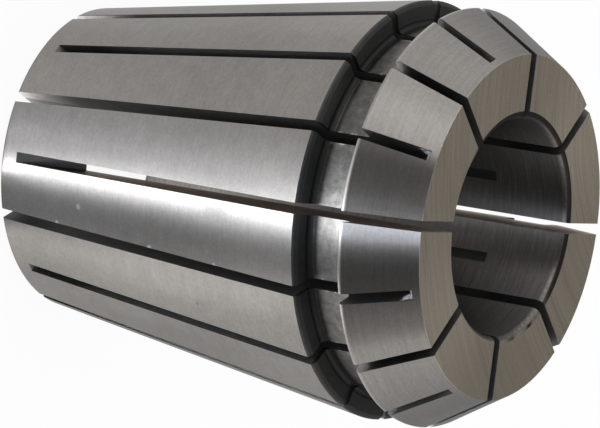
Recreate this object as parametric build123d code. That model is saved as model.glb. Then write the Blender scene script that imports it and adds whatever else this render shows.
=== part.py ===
from build123d import *
import math
import os

# Collet, size 32, for a tool shank of 17 mm. The axis is +Z, the narrow rear end
# stands on Z = 0 and the clamping face is on top.

# Bore that grips the shank
bore_diameter = 17.0
mouth_radius = 0.55

# Tapered body, widest at its front edge
body_diameter = 33.0
body_length = 30.9
taper_half_angle = 8.0
rear_edge_radius = 0.3
shoulder_chamfer = 0.35

# Groove that the nut's extractor ring sits in
groove_depth = 1.9
groove_width = 3.6
shoulder_fillet = 0.5
flange_fillet = 0.25

# Front flange with the nut cone
front_length = 5.5
flange_drop = 0.1
nut_cone_half_angle = 30.0
flange_edge_radius = 0.3

# Saw slots, one set open at the face and one set open at the rear end
slots_per_end = 8
slot_width = 0.85
saw_radius = 20.0
front_slot_rear_land = 1.6
front_slot_bore_land = 5.7
rear_slot_face_land = 0.5
rear_slot_bore_land = 6.5
run_past = 4.0

bore_radius = bore_diameter / 2
body_radius = body_diameter / 2
groove_radius = body_radius - groove_depth
taper = math.tan(math.radians(taper_half_angle))
chamfer_z = body_length - shoulder_chamfer
rear_radius = body_radius - chamfer_z * taper
flange_z = body_length + groove_width
overall_length = flange_z + front_length
slot_step = 360 / slots_per_end

# The flange's sharp corner lies outside its rounded edge
nut_angle = math.radians(nut_cone_half_angle)
corner_stand_off = flange_edge_radius * ((1 + math.sin(nut_angle)) / math.cos(nut_angle) - 1)
flange_radius = body_radius - flange_drop + corner_stand_off
face_radius = flange_radius - front_length * math.tan(nut_angle)


def body_radius_at(z):
    return rear_radius + z * taper


def nut_cone_radius_at(z):
    return face_radius + (overall_length - z) * math.tan(nut_angle)


def vertex_near(shape, radius, z):
    return shape.vertices().sort_by_distance((radius, 0, z))[0]


def saw_cut(inner_point, outer_point, open_z):
    """The solid one saw blade sweeps: its rim passes through both points, given as
    radius and height, and it leaves the collet at open_z."""
    out_way = 1 if open_z > outer_point[1] else -1
    across = outer_point[0] - inner_point[0]
    along = outer_point[1] - inner_point[1]
    chord = math.hypot(across, along)
    offset = math.sqrt(saw_radius**2 - (chord / 2) ** 2)
    centre_r = (inner_point[0] + outer_point[0]) / 2 + offset * abs(along) / chord
    centre_z = (inner_point[1] + outer_point[1]) / 2 + out_way * offset * across / chord
    reach_r = centre_r - saw_radius
    outside_r = body_radius + run_past
    end_z = open_z + out_way * run_past
    rim_z = centre_z - out_way * math.sqrt(saw_radius**2 - (centre_r - outside_r) ** 2)
    start = Vector(reach_r, 0, centre_z)
    finish = Vector(outside_r, 0, rim_z)
    through = Vector(inner_point[0], 0, inner_point[1])
    outline = Wire(
        [
            ThreePointArc(start, through, finish),
            Line(finish, (outside_r, 0, end_z)),
            Line((outside_r, 0, end_z), (reach_r, 0, end_z)),
            Line((reach_r, 0, end_z), start),
        ]
    )
    return extrude(Face(outline), amount=slot_width / 2, dir=(0, 1, 0), both=True)


# Turned blank
half_section = make_face(
    Polyline(
        (bore_radius, 0, 0),
        (rear_radius, 0, 0),
        (body_radius, 0, chamfer_z),
        (body_radius - shoulder_chamfer, 0, body_length),
        (groove_radius, 0, body_length),
        (groove_radius, 0, flange_z),
        (flange_radius, 0, flange_z),
        (face_radius, 0, overall_length),
        (bore_radius, 0, overall_length),
        close=True,
    )
)
for corner_radius, corner_z, rounding in (
    (rear_radius, 0, rear_edge_radius),
    (groove_radius, body_length, shoulder_fillet),
    (groove_radius, flange_z, flange_fillet),
    (flange_radius, flange_z, flange_edge_radius),
    (bore_radius, overall_length, mouth_radius),
):
    half_section = fillet(vertex_near(half_section, corner_radius, corner_z), rounding)
blank = revolve(half_section, Axis.Z)

# Slots from the face stop short of the rear end, slots from the rear end stop short
# of the face, and each runs out along the rim of the saw
front_inner = (bore_radius, front_slot_bore_land)
front_outer = (body_radius_at(front_slot_rear_land), front_slot_rear_land)
rear_slot_end_z = overall_length - rear_slot_face_land
rear_inner = (bore_radius, overall_length - rear_slot_bore_land)
rear_outer = (nut_cone_radius_at(rear_slot_end_z), rear_slot_end_z)
front_cut = saw_cut(front_inner, front_outer, overall_length)
rear_cut = saw_cut(rear_inner, rear_outer, 0)
cuts = []
for i in range(slots_per_end):
    cuts.append(Rot(0, 0, i * slot_step) * front_cut)
    cuts.append(Rot(0, 0, (i + 0.5) * slot_step) * rear_cut)
collet = blank - cuts

collet = collet.solid()
collet.label = "collet"
os.makedirs("parts", exist_ok=True)
export_step(collet, "parts/collet.step")
print("volume", round(collet.volume), "face radius", round(face_radius, 3))
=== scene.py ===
import math

import bmesh
import bpy
from mathutils import Matrix, Vector


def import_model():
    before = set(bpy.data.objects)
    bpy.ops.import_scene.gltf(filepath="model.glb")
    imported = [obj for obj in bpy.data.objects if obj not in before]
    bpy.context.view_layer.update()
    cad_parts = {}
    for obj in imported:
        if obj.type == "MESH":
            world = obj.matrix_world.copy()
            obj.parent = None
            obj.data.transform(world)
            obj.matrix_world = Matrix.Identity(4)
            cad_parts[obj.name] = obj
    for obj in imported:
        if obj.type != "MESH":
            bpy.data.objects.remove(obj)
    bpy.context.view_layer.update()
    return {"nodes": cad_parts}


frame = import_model()

MM = 0.001

# Radii and heights of the turned forms, in millimetres
BORE_R = 8.5
MOUTH = 0.55
GROOVE_R = 14.6
FACE_R = 13.444
BODY_BASE_R = 12.2065
BODY_TOP_Z = 30.55
SHOULDER_Z = 30.9
FLANGE_Z = 34.5
TIP_Z = 39.5
TOP_Z = 40.0
TAPER = math.tan(math.radians(8))
NUT_SLOPE = math.tan(math.radians(30))
SLOT_STEP = math.radians(22.5)
SLOT_HALF = 0.425

# A point this close to a surface counts as on it
TOUCH = 0.02

# Finishes. The last four also paint light and shade: light on two slots' stained walls, the mouth's
# dark band, burr glints and light slot tips
GROUND_COLOUR = (0.27, 0.254, 0.239)
FLOOR_COLOUR = (0.25, 0.242, 0.2265)
BORE_COLOUR = (0.24, 0.226, 0.214)
FACE_COLOUR = (0.5, 0.438, 0.356)
DARK_COLOUR = (0.165, 0.165, 0.161)
SAWN_COLOUR = (0.27, 0.258, 0.25)
STAIN_AND_LIGHT_COLOUR = (0.6, 0.52, 0.455)
MOUTH_SHADE_COLOUR = (0.05, 0.042, 0.038)
BURR_GLINT_COLOUR = (0.9, 0.9, 0.92)
TIP_LIGHT_COLOUR = (0.5, 0.47, 0.44)

# The cards that make the long highlights are bluish, for so many degrees each way
PLAIN = (1, 1, 1)
COOL = (0.96, 1.0, 1.06)
COLD = (0.9, 1.0, 1.18)
HIGHLIGHT_AZIMUTH = -82
COOL_REACH = 42
COLD_REACH = 8

# Cards: the ring and the ceiling over it, and the rings of the table, in millimetres
RING_R = 380
RING_LOW = 2
CEILING_Z = 520
CEILING_R = 330
CEILING_HOLE_R = 0.1
TABLE_CENTRE = (-0.4, -5.9)
TABLE_Z = 0.05
TABLE_RADII = (6.5, 23, 42, 150, 372)

# The paper floor: its radius in metres, how far it lies under the collet in millimetres,
# and the share of its own glow in what the lens sees
FLOOR_R = 3.0
FLOOR_DROP = 0.02
FLOOR_GLOW = 0.93

# Small dings, nicks and dark spots on the taper: place, size and how much lighter
# or darker than the steel they are
MARKS = (
    ((3.0, -13.06, 8.53), 0.22, 2.0),
    ((4.56, -12.24, 6.1), 0.2, 2.4),
    ((5.09, -13.52, 15.96), 0.2, 2.4),
    ((5.45, -14.39, 22.66), 0.16, 2.0),
    ((8.9, -12.2, 20.1), 0.13, 0.6),
    ((5.0, -14.9, 27.2), 0.12, 0.65),
)


class Value:
    """A shader socket that can be used in a Python expression."""

    def __init__(self, shader, socket):
        self.shader = shader
        self.socket = socket

    def maths(self, operation, *sockets):
        return self.shader.maths(operation, *sockets)

    def __add__(self, other):
        return self.maths("ADD", self, other)

    __radd__ = __add__

    def __sub__(self, other):
        return self.maths("SUBTRACT", self, other)

    def __rsub__(self, other):
        return self.maths("SUBTRACT", other, self)

    def __mul__(self, other):
        return self.maths("MULTIPLY", self, other)

    __rmul__ = __mul__

    def __truediv__(self, other):
        return self.maths("DIVIDE", self, other)

    def __pow__(self, other):
        return self.maths("POWER", self, other)

    def root(self):
        return self.maths("SQRT", self)

    def size(self):
        return self.maths("ABSOLUTE", self)

    def larger(self, other):
        return self.maths("MAXIMUM", self, other)

    def smaller(self, other):
        return self.maths("MINIMUM", self, other)

    def above(self, limit):
        return self.maths("GREATER_THAN", self, limit)

    def below(self, limit):
        return self.maths("LESS_THAN", self, limit)

    def step(self, low, high):
        """0 below low, 1 above high and smooth between."""
        settings = {"interpolation_type": "SMOOTHSTEP"}
        sockets = {"Value": self, "From Min": low, "From Max": high}
        return self.shader.add("ShaderNodeMapRange", settings, sockets)


class Shader:
    """The nodes of one material."""

    def __init__(self, name):
        self.material = bpy.data.materials.new(name)
        self.material.use_nodes = True
        self.tree = self.material.node_tree
        self.tree.nodes.clear()

    def add(self, kind, settings=None, sockets=None, output=0):
        node = self.tree.nodes.new(kind)
        for key, value in (settings or {}).items():
            if key == "stops":
                self.set_stops(node.color_ramp, value)
            else:
                setattr(node, key, value)
        for key, value in (sockets or {}).items():
            if isinstance(value, Value):
                self.tree.links.new(value.socket, node.inputs[key])
            elif node.inputs[key].type == "RGBA":
                node.inputs[key].default_value = (*value, 1)
            else:
                node.inputs[key].default_value = value
        return Value(self, node.outputs[output]) if node.outputs else None

    def set_stops(self, ramp, stops):
        while len(ramp.elements) < len(stops):
            ramp.elements.new(1.0)
        for element, (place, colour) in zip(ramp.elements, stops):
            element.position = place
            element.color = (*colour, 1)

    def maths(self, operation, *sockets):
        return self.add("ShaderNodeMath", {"operation": operation}, dict(enumerate(sockets)))

    def object_place(self):
        return self.add("ShaderNodeTexCoord", None, None, 3)

    def split(self, vector):
        return [self.add("ShaderNodeSeparateXYZ", None, {0: vector}, axis) for axis in range(3)]

    def join(self, x, y, z):
        return self.add("ShaderNodeCombineXYZ", None, {0: x, 1: y, 2: z})

    def noise(self, vector, scale, detail, rough):
        sockets = {"Vector": vector, "Scale": scale, "Detail": detail, "Roughness": rough}
        return self.add("ShaderNodeTexNoise", None, sockets)

    def mix(self, share, first, second):
        return self.add("ShaderNodeMix", {"data_type": "RGBA"}, {0: share, 6: first, 7: second}, 2)

    def tint(self, colour, level):
        """A colour made lighter or darker by a value."""
        sockets = {0: colour, "Scale": level}
        return self.add("ShaderNodeVectorMath", {"operation": "SCALE"}, sockets)

    def steel(self, colour, rough, stretch, metal=1.0, sockets=None):
        """Steel with its highlights stretched across the grinding lines."""
        return self.add("ShaderNodeBsdfPrincipled", None, {
            "Base Color": colour, "Metallic": metal, "Roughness": rough,
            "Anisotropic": stretch, "Anisotropic Rotation": 0.25, **(sockets or {})})

    def blend(self, share, first, second):
        return self.add("ShaderNodeMixShader", None, {0: share, 1: first, 2: second})

    def finish(self, surface):
        self.add("ShaderNodeOutputMaterial", None, {"Surface": surface})
        return self.material


def collet_steel():
    """Ground taper, cone, bore and face, a turned groove, and sawn slots."""
    s = Shader("collet_steel")
    x, y, z = (axis * (1 / MM) for axis in s.split(s.object_place()))
    radius = (x * x + y * y).root()
    around_x = x / radius
    around_y = y / radius

    # The rounded mouth of the bore: rounding is 0 at the bore and 1 at the face, and
    # mouth_front is 1 all round but at the +Y end
    mouth_in = BORE_R + MOUTH - radius
    mouth_up = z - (TOP_Z - MOUTH)
    from_mouth = (mouth_in * mouth_in + mouth_up * mouth_up).root()
    on_mouth = mouth_in.above(0) * mouth_up.above(0) * from_mouth.above(MOUTH - 0.03)
    rounding = s.maths("ARCTAN2", mouth_up, mouth_in) * (2 / math.pi)
    mouth_front = 1 - y.step(5.2, 7.4)

    # How far a point is from the middle of the nearest slot, which set that slot is in,
    # and whether the point lies inside the turned skin, so on a slot's wall
    turn = s.maths("ARCTAN2", y, x) / SLOT_STEP
    nearest = s.maths("ROUND", turn)
    aside = (s.maths("SINE", (turn - nearest) * SLOT_STEP) * radius).size()
    rear_set = s.maths("FRACT", nearest * 0.5).above(0.25)
    behind = z.below(SHOULDER_Z)
    ahead = z.above(FLANGE_Z)
    skin = behind * (BODY_BASE_R + z * TAPER) + ahead * (FACE_R + (TOP_Z - z) * NUT_SLOPE)
    skin = skin + (1 - behind - ahead) * GROOVE_R
    in_slot = aside.below(SLOT_HALF + 0.01) * (skin - radius).above(0.05) * radius.above(BORE_R + 0.03)
    in_slot = in_slot * z.above(TOUCH) * z.below(TOP_Z - 0.03) * (1 - on_mouth)
    rear_slot = in_slot * rear_set
    front_slot = in_slot * (1 - rear_set)

    on_face = z.above(TOP_Z - TOUCH)
    on_cone = ahead * radius.above(BORE_R + MOUTH)
    in_groove = z.above(SHOULDER_Z - TOUCH) * z.below(FLANGE_Z + TOUCH) * radius.above(GROOVE_R - TOUCH)
    on_floor = in_groove * radius.below(GROOVE_R + TOUCH)
    on_shoulder = z.above(BODY_TOP_Z) * z.below(SHOULDER_Z + TOUCH) * radius.above(GROOVE_R + TOUCH)
    in_bore = radius.below(BORE_R + TOUCH)
    rear_edge = 1 - z.step(0.0, 0.35)

    # Grinding lines run round the axis, with a fine mottle, grain and faint clouds over them
    lines = s.noise(s.join(around_x * 3.0, around_y * 3.0, z * 6.0), 1.0, 4.0, 0.7)
    mottle = s.noise(s.join(around_x * 34.0, around_y * 34.0, z * 5.0), 1.0, 3.0, 0.7)
    clouds = s.noise(s.join(around_x * 9.0, around_y * 9.0, z * 0.9), 1.0, 3.0, 0.7)
    grain = s.noise(s.join(x, y, z), 6.0, 2.0, 0.6)
    strength = 0.22 + 0.3 * on_cone + 1.1 * in_bore
    level = 1.0 + (lines - 0.5) * strength + (mottle - 0.5) * 0.34 + (grain - 0.5) * 0.35
    level = level * (1.0 + (clouds - 0.5) * 0.35 * (1 - ahead) * (1 - in_bore))
    for (mark_x, mark_y, mark_z), size, change in MARKS:
        away = ((x - mark_x) ** 2.0 + (y - mark_y) ** 2.0 + (z - mark_z) ** 2.0).root()
        away = away + (grain - 0.5) * 2.4 * size
        level = level * (1.0 + (change - 1.0) * (1 - away.step(size * 0.6, size * 1.3)))

    # Painted light: the body's front, the bore's rear and the flange's edge are painted lighter.
    # Painted shade:
    # the inner part of the mouth and the rear edge are painted darker
    level = level * (1 + 0.18 * behind * z.step(18.0, 29.0) * (1 - in_bore))
    level = level * (1 + on_mouth * (mottle - 0.75) * rounding.step(0.1, 0.3))
    level = level * (1 + 2.2 * in_bore * (1 - z.step(2.0, 18.0)))
    level = level * (1 + 0.7 * on_cone * (1 - z.step(FLANGE_Z + 0.25, FLANGE_Z + 0.5)))
    ground_colour = s.mix(in_bore, GROUND_COLOUR, BORE_COLOUR)
    bump = s.add("ShaderNodeBump", None, {"Strength": 0.25, "Distance": 0.00002, "Height": lines})
    ground_tint = s.tint(ground_colour, level * (1 - 0.6 * rear_edge))
    ground = s.steel(ground_tint, 0.4 - 0.08 * on_cone, 0.9, sockets={"Normal": bump})

    # The groove's floor is turned and blotchy. It is painted black in the corner under the shoulder and
    # darker away from the front, both painted shade, and here and there bright along the slots, painted
    # glints on burrs
    patches = s.noise(s.join(x, y, z), 1.6, 4.0, 0.65)
    beside_slot = 1 - aside.step(SLOT_HALF + 0.04, SLOT_HALF + 0.12)
    burr_glint_edge = x.size().above(1.5) * beside_slot * patches.step(0.5, 0.62)
    corner_shade = in_groove * (1 - z.step(SHOULDER_Z + 0.5, SHOULDER_Z + 0.95))
    flank = y.step(-13.0, -9.5)
    side_shade = flank * (0.36 * (1 - z.step(FLANGE_Z - 2.2, FLANGE_Z - 0.5)) + 0.3 * corner_shade)
    floor_level = (0.1 + 1.8 * patches + 1.7 * burr_glint_edge) * (1 - 0.7 * corner_shade) * (1 - side_shade)
    turned = s.steel(s.tint(FLOOR_COLOUR, floor_level), 0.36, 0.6)

    # The face is ground in long shallow arcs, and painted lighter along one diagonal, a painted
    # highlight
    arc = ((x + 12.0) ** 2.0 + (y - 26.0) ** 2.0).root()
    arcs = s.noise(s.join(arc * 3.6, (x - y) * 0.12, 0.0), 1.0, 4.0, 0.75)
    fan_highlight = ((x - y) / radius * math.sqrt(0.5)) ** 6.0
    face_level = (0.96 + 0.26 * fan_highlight) * (1.0 + (arcs - 0.5) * 0.95 + (grain - 0.5) * 0.4)
    face = s.steel(s.tint(FACE_COLOUR, face_level), 0.42, 0.5)

    # The mouth's lip is painted as a dark band of shade, narrower and broken on its +X side
    plus_x = x.step(-4.0, 0.0)
    broken = 1 - mouth_front * plus_x * s.noise(s.join(x, y, 0.0), 0.8, 1.0, 0.5).step(0.35, 0.7)
    outer = (rounding - 0.22 * mouth_front * plus_x).step(0.35, 0.55)
    lip_reach = y.step(0.0, 3.0).larger((1 - plus_x) * y.step(-7.5, -6.0))
    lip_shade = on_mouth * outer * lip_reach * broken

    # The two slots at X = 0 are painted light brown, a brown stain with painted light on their walls.
    # The rear slots end in painted light tips on the cone, with painted glints on burrs on the two
    # nearest the front
    stain_and_light = x.size().below(1.0) * z.step(6.0, 8.0)
    lit_tip = rear_slot * z.step(TIP_Z - 1.4, TIP_Z - 0.3) * (1 - 0.6 * y.below(-9.0))
    glint_spot = ((x.size() - 5.05) ** 2.0 + (y + 12.2) ** 2.0 + (z - TIP_Z + 0.7) ** 2.0).root()
    spots = s.noise(s.join(x, y, z), 2.0, 2.0, 0.5)
    burr_glint = rear_slot * (1 - (glint_spot + (spots - 0.5) * 0.9).step(0.5, 0.95))
    burr_glint = burr_glint * z.step(TIP_Z - 1.15, TIP_Z - 0.85) * (1 - z.step(TIP_Z - 0.35, TIP_Z - 0.2))
    glinting_burr_colour = s.tint(BURR_GLINT_COLOUR, 1.3 - 0.8 * spots.step(0.4, 0.65))

    # Painted light and shade on the sawn walls along the slots, and painted shade on the chamfer and
    # the shoulder
    flange_edge = ahead * radius.step(13.4, 14.4) * (1 - z.step(FLANGE_Z + 0.2, FLANGE_Z + 1.3))
    slot_floor = aside.below(SLOT_HALF - 0.01).larger(radius.below(11.0))
    shoulder_shade = 0.45 + 0.3 * z.step(BODY_TOP_Z, BODY_TOP_Z + 0.22) - 0.35 * z.above(SHOULDER_Z - 0.003)
    sawn_level = 1 - 0.45 * front_slot * (1 - stain_and_light) * z.step(33.0, 36.0)
    sawn_level = sawn_level * (1 - on_shoulder * shoulder_shade)
    sawn_level = sawn_level * (1 - 0.55 * rear_slot * slot_floor)
    sawn_level = sawn_level * (1 + 2.4 * front_slot * (1 - stain_and_light) * y.below(3.0) * flange_edge)
    sawn_level = sawn_level * (1 - 0.4 * front_slot * (1 - z.step(6.0, 8.5)))
    sawn_level = sawn_level * (1 + (2.6 - 3.4 * x.above(0.0)) * rear_slot * (1 - z.step(1.5, 6.5)))
    sawn = s.mix(in_slot, DARK_COLOUR, s.mix(stain_and_light, SAWN_COLOUR, STAIN_AND_LIGHT_COLOUR))
    sawn = s.mix(lit_tip, s.tint(sawn, sawn_level), TIP_LIGHT_COLOUR)
    sawn = s.mix(lip_shade, s.mix(burr_glint, sawn, glinting_burr_colour), MOUTH_SHADE_COLOUR)

    # Sawn walls, the chamfer, the shoulder, its fillet and the lip are dull
    fillet = corner_shade * z.above(SHOULDER_Z + 0.003)
    fillet_shade = 0.78 + 0.14 * flank * z.step(SHOULDER_Z + 0.1, SHOULDER_Z + 0.3)
    dull_colour = s.tint(sawn, (0.7 + patches * 0.6) * (1 - fillet_shade * fillet))
    dull = s.steel(dull_colour, 0.5, 0.4, metal=1 - burr_glint)
    is_dull = (in_groove - on_floor).larger(on_shoulder).larger(in_slot).larger(lip_shade)
    is_face = on_face.larger(on_mouth * rounding.step(0.6, 0.9) * mouth_front)
    surface = s.blend(is_face, s.blend(on_floor, ground, turned), face)
    return s.finish(s.blend(is_dull, surface, dull))


def floor_paper():
    """White paper. The lens and the reflections see mostly an even glow, with a faint shadow."""
    s = Shader("floor_paper")
    path = "ShaderNodeLightPath"
    rays = ("Is Camera Ray", "Is Glossy Ray", "Is Transmission Ray")
    camera_ray, glossy_ray, transmission_ray = (s.add(path, None, None, ray) for ray in rays)
    seen = camera_ray + glossy_ray + transmission_ray
    paper = s.add("ShaderNodeBsdfDiffuse", None, {"Color": (0.85, 0.85, 0.85)})
    glow = s.add("ShaderNodeEmission", None, {"Color": (1, 1, 1), "Strength": 1.0})
    return s.finish(s.blend(seen.smaller(1.0) * FLOOR_GLOW, paper, glow))


def floor(material):
    bm = bmesh.new()
    bmesh.ops.create_circle(bm, cap_ends=True, segments=96, radius=FLOOR_R)
    mesh = bpy.data.meshes.new("floor")
    bm.to_mesh(mesh)
    bm.free()
    sheet = bpy.data.objects.new("floor", mesh)
    sheet.location.z = -FLOOR_DROP * MM
    mesh.materials.append(material)
    bpy.context.scene.collection.objects.link(sheet)


def graded_card(name, centre, inner, outer, stops, cool=COOL, reach=COOL_REACH):
    """A card round a centre that shows only as a reflection, graded by azimuth."""
    start, end = math.radians(stops[0][0]), math.radians(stops[-1][0])
    s = Shader(name)
    x, y, z = s.split(s.object_place())
    bearing = s.maths("ARCTAN2", y - centre[1] * MM, x - centre[0] * MM)
    bearing = bearing - 2 * math.pi * bearing.above(end)
    peak = max(level for azimuth, level in stops)
    ramp = []
    for azimuth, level in stops:
        tint = cool if abs(azimuth - HIGHLIGHT_AZIMUTH) < reach else PLAIN
        along = (math.radians(azimuth) - start) / (end - start)
        ramp.append((along, [c * level / peak for c in tint]))
    colour = s.add("ShaderNodeValToRGB", {"stops": ramp}, {0: (bearing - start) / (end - start)})
    glow = s.add("ShaderNodeBsdfPrincipled", None, {
        "Base Color": (0, 0, 0), "Specular IOR Level": 0.0,
        "Emission Color": colour, "Emission Strength": peak})
    bm = bmesh.new()
    ends = [bm.verts.new((r * MM, 0, h * MM)) for r, h in (inner, outer)]
    bm.edges.new(ends)
    bmesh.ops.rotate(bm, matrix=Matrix.Rotation(start, 3, "Z"), verts=ends)
    bmesh.ops.spin(bm, geom=bm.verts[:] + bm.edges[:], axis=(0, 0, 1),
                   angle=end - start, steps=72, use_merge=True)
    bmesh.ops.translate(bm, vec=(centre[0] * MM, centre[1] * MM, 0), verts=bm.verts)
    mesh = bpy.data.meshes.new(name)
    bm.to_mesh(mesh)
    bm.free()
    mesh.materials.append(s.finish(glow))
    board = bpy.data.objects.new(name, mesh)
    for part in ("camera", "diffuse", "shadow"):
        setattr(board, "visible_" + part, False)
    bpy.context.scene.collection.objects.link(board)


def camera():
    """The photograph's view: lens and place were fitted to the edges of the collet."""
    data = bpy.data.cameras.new("camera")
    data.sensor_width = 36.0
    data.lens = 286.59
    data.clip_start = 0.01
    data.clip_end = 10.0
    view = bpy.data.objects.new("camera", data)
    right = Vector((-0.124732, 0.537530, 0.833968))
    up = Vector((-0.989819, -0.009333, -0.142026))
    back = Vector((-0.068560, -0.843193, 0.533222))
    place = Vector((-24.1987, -318.3489, 222.0243)) * MM
    view.matrix_world = Matrix.Translation(place) @ Matrix((right, up, back)).transposed().to_4x4()
    bpy.context.scene.collection.objects.link(view)
    bpy.context.scene.camera = view


def world():
    studio = bpy.data.worlds.new("studio")
    studio.use_nodes = True
    studio.node_tree.nodes["Background"].inputs["Color"].default_value = (1, 1, 1, 1)
    bpy.context.scene.world = studio
    bpy.context.scene.view_settings.view_transform = "Standard"


camera()
world()
floor(floor_paper())
collet = frame["nodes"]["collet"]
collet.data.materials[0] = collet_steel()

# Round the lens the studio is dark, with soft lights at its sides and a pale back
graded_card("studio_ring", (0, 0), (RING_R, RING_LOW), (RING_R, CEILING_Z), [
    (-190, 1.1), (-175, 1.05), (-165, 1.3), (-149, 1.75), (-136, 1.6), (-131, 1.35),
    (-128, 0.15), (-118, 0.12), (-104, 0.16), (-92, 0.25), (-85, 1.4), (-81, 6.6), (-77, 2.0),
    (-74, 0.15), (-70, 0.03), (-48, 0.03), (-38, 0.12), (-31, 0.3), (-20, 0.28), (-16, 0.95),
    (-9, 1.15), (13, 0.95), (30, 0.7), (45, 0.45), (58, 0.15), (74, 0.15), (88, 0.32),
    (103, 0.25), (121, 0.4), (135, 0.7), (150, 0.95), (170, 1.1)], COLD, COLD_REACH)

# The table: its near and middle rings show in the body, the far ring in the groove's
# floor and the outer ring in the cone
table_rings = (
    ("near_table", [
        (-190, 0.93), (-160, 0.86), (-140, 1.0), (-130, 1.05), (-122, 1.12), (-113, 1.4),
        (-104, 1.85), (-97, 1.85), (-91, 2.3), (-86, 3.6), (-80, 7.5), (-76, 6.9),
        (-73.5, 2.2), (-70.5, 1.0), (-64, 0.65), (-57, 0.6), (-49, 0.6), (-42, 0.85),
        (-36, 1.6), (-28, 1.55), (-19, 1.2), (-9, 0.9), (13, 0.75), (40, 0.6), (58, 0.7),
        (80, 0.45), (90, 0.2), (100, 0.35), (121, 0.5), (148, 0.85), (170, 0.93)]),
    ("middle_table", [
        (-190, 1.0), (-158, 0.97), (-140, 1.12), (-130, 1.25), (-122, 1.4), (-113, 1.85),
        (-104, 2.4), (-97, 2.6), (-91, 4.3), (-86, 8.5), (-81, 17.0), (-77, 16.0), (-74, 3.4),
        (-71.5, 0.8), (-66, 0.6), (-61, 0.55), (-49, 0.55), (-42, 1.0), (-36, 3.2),
        (-28, 3.3), (-19, 2.4), (-9, 1.5), (13, 0.75), (40, 0.6), (58, 0.7), (80, 0.45),
        (90, 0.2), (100, 0.35), (121, 0.5), (148, 0.9), (170, 1.0)]),
    ("far_table", [
        (-190, 0.7), (-175, 0.45), (-167, 0.3), (-140, 0.25), (-128, 0.35), (-120, 0.6),
        (-113, 0.9), (-104, 1.2), (-97, 1.6), (-91, 3.2), (-85, 5.4), (-77, 6.8), (-73, 3.0),
        (-69, 0.9), (-64, 0.45), (-57, 0.3), (-49, 0.35), (-42, 0.5), (-36, 0.9), (-28, 0.85),
        (-19, 0.75), (-9, 0.9), (5, 0.85), (22, 0.68), (62, 0.55), (80, 0.35), (90, 0.2),
        (100, 0.4), (121, 0.8), (148, 0.9), (170, 0.85)]),
    ("outer_table", [
        (-180, 0.9), (-20, 0.9), (8, 0.88), (24, 0.7), (38, 0.5), (51, 0.4), (70, 0.4),
        (90, 0.4), (115, 0.42), (133, 0.5), (147, 0.65), (162, 0.85), (180, 0.9)]),
)
for (name, stops), inner, outer in zip(table_rings, TABLE_RADII, TABLE_RADII[1:]):
    graded_card(name, TABLE_CENTRE, (inner, TABLE_Z), (outer, TABLE_Z), stops)

# A soft light overhead, on one side
graded_card("overhead", (0, 0), (CEILING_R, CEILING_Z), (CEILING_HOLE_R, CEILING_Z), [
    (-180, 0.06), (-20, 0.06), (2, 1.1), (20, 1.9), (34, 0.8), (48, 0.06), (180, 0.06)])
